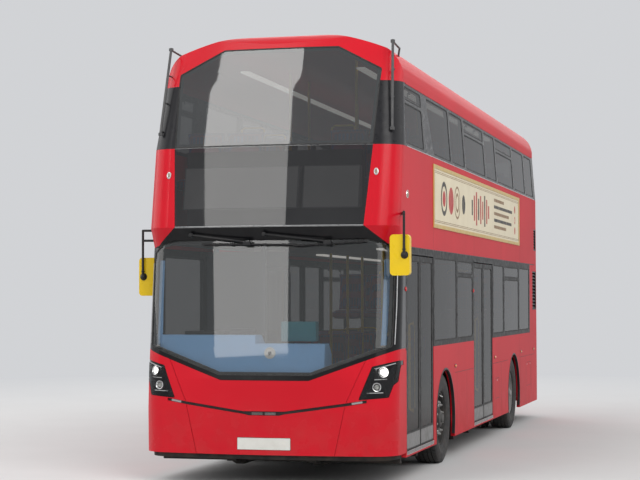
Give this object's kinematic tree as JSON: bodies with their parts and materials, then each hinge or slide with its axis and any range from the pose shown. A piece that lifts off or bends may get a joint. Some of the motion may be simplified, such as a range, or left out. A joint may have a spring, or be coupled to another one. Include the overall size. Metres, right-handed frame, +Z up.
{
  "type": "double decker bus",
  "caption": "Two-deck low-floor city bus with raked wraparound nose, entrance and exit with paired inward-swinging leaves, twin rear wheels and steered front wheels.",
  "frame": {"origin": "middle of the footprint at ground level", "axes": "+Z up, -Y towards the nose, +X towards the nearside where the doors are"},
  "size_m": [2.85, 10.5163, 4.4249],
  "materials": {
    "red": "gloss red",
    "black_trim": "gloss black",
    "dark_trim": "satin charcoal",
    "glass": "tinted",
    "dark_glass": "dark",
    "lamp": "black housing with clear lens",
    "tail_lamp": "red lens",
    "steel": "chassis black",
    "engine": "cast",
    "tyre": "rubber",
    "rim": "grey",
    "floor": "vinyl",
    "dash": "light blue",
    "seat": "blue moquette",
    "seat_frame": "grey",
    "pole": "yellow",
    "mirror_shell": "yellow",
    "frame_metal": "satin",
    "poster": "cream"
  },
  "bodies": {
    "body": {"branch_guards": "dark_trim", "brow_panels": "red", "cab_partition": "dark_trim", "chassis_frame": "steel", "crease_trim": "black_trim", "cross_members": "steel", "dashboard": "dash", "destination_box": "dark_trim", "destination_glass": "dark_glass", "door_posts": "frame_metal", "driver_seat": "seat", "engine_block": "engine", "engine_cover": "dark_trim", "engine_louvres": "dark_trim", "front_axle": "steel", "front_bumper": "red", "front_centre_panel": "red", "front_corner_panels": "red", "grab_poles": "pole", "headlamp_units": "lamp", "lower_floor": "floor", "lower_side_glass": "glass", "lower_side_panels": "red", "lower_window_frames": "black_trim", "lower_windscreen": "glass", "mirrors": "mirror_shell", "poster_frame": "poster", "rear_axle": "steel", "roof": "red", "saloon_seats": "seat", "seat_frames": "seat_frame", "stair_guard": "pole", "staircase": "floor", "tail_lamps": "tail_lamp", "tail_lower_panel": "red", "tail_upper_panel": "red", "upper_floor": "floor", "upper_side_glass": "glass", "upper_side_panels": "red", "upper_window_frames": "black_trim", "upper_windscreen": "glass", "wheel_housings": "dark_trim", "windscreen_surround": "black_trim", "wipers": "dark_trim"},
    "knuckle_nearside": {"knuckle_nearside": "steel"},
    "knuckle_offside": {"knuckle_offside": "steel"},
    "wheel_front_nearside": {"front_tyre_nearside": "tyre", "front_rim_nearside": "rim"},
    "wheel_front_offside": {"front_tyre_offside": "tyre", "front_rim_offside": "rim"},
    "wheel_rear_nearside": {"rear_tyres_nearside": "tyre", "rear_rims_nearside": "rim"},
    "wheel_rear_offside": {"rear_tyres_offside": "tyre", "rear_rims_offside": "rim"},
    "entrance_fore": {"entrance_leaf_fore": "frame_metal"},
    "entrance_aft": {"entrance_leaf_aft": "frame_metal"},
    "exit_fore": {"exit_leaf_fore": "frame_metal"},
    "exit_aft": {"exit_leaf_aft": "frame_metal"},
    "cab_door": {"cab_door": "dark_trim"},
    "engine_flap": {"engine_flap": "red"}
  },
  "joints": [
    {"name": "steer_nearside", "type": "hinge", "parent": "body", "child": "knuckle_nearside", "pos_m": [0.9405, -2.55, 0.478], "axis": [0, 0, 1], "range_deg": [-38, 38]},
    {"name": "steer_offside", "type": "hinge", "parent": "body", "child": "knuckle_offside", "pos_m": [-0.9405, -2.55, 0.478], "axis": [0, 0, 1], "range_deg": [-38, 38]},
    {"name": "spin_front_nearside", "type": "hinge", "parent": "knuckle_nearside", "child": "wheel_front_nearside", "pos_m": [1.0905, -2.55, 0.478], "axis": [1, 0, 0], "continuous": true},
    {"name": "spin_front_offside", "type": "hinge", "parent": "knuckle_offside", "child": "wheel_front_offside", "pos_m": [-1.0905, -2.55, 0.478], "axis": [1, 0, 0], "continuous": true},
    {"name": "spin_rear_nearside", "type": "hinge", "parent": "body", "child": "wheel_rear_nearside", "pos_m": [1.0905, 2.65, 0.478], "axis": [1, 0, 0], "continuous": true},
    {"name": "spin_rear_offside", "type": "hinge", "parent": "body", "child": "wheel_rear_offside", "pos_m": [-1.0905, 2.65, 0.478], "axis": [1, 0, 0], "continuous": true},
    {"name": "entrance_fore_swing", "type": "hinge", "parent": "body", "child": "entrance_fore", "pos_m": [1.202, -4.608, 0.3], "axis": [0, 0, 1], "range_deg": [0, 88]},
    {"name": "entrance_aft_swing", "type": "hinge", "parent": "body", "child": "entrance_aft", "pos_m": [1.202, -3.292, 0.3], "axis": [0, 0, -1], "range_deg": [0, 88]},
    {"name": "exit_fore_swing", "type": "hinge", "parent": "body", "child": "exit_fore", "pos_m": [1.202, -0.648, 0.3], "axis": [0, 0, 1], "range_deg": [0, 88]},
    {"name": "exit_aft_swing", "type": "hinge", "parent": "body", "child": "exit_aft", "pos_m": [1.202, 0.718, 0.3], "axis": [0, 0, -1], "range_deg": [0, 88]},
    {"name": "cab_door_swing", "type": "hinge", "parent": "body", "child": "cab_door", "pos_m": [-0.284, -3.33, 0.5], "axis": [0, 0, 1], "range_deg": [0, 75]},
    {"name": "engine_flap_lift", "type": "hinge", "parent": "body", "child": "engine_flap", "pos_m": [0, 5.2505, 1.345], "axis": [1, 0, 0], "range_deg": [0, 70]}
  ],
  "couplings": [
    {"joint": "steer_offside", "follows": "steer_nearside", "ratio": 1},
    {"joint": "entrance_aft_swing", "follows": "entrance_fore_swing", "ratio": 1},
    {"joint": "exit_aft_swing", "follows": "exit_fore_swing", "ratio": 1}
  ]
}
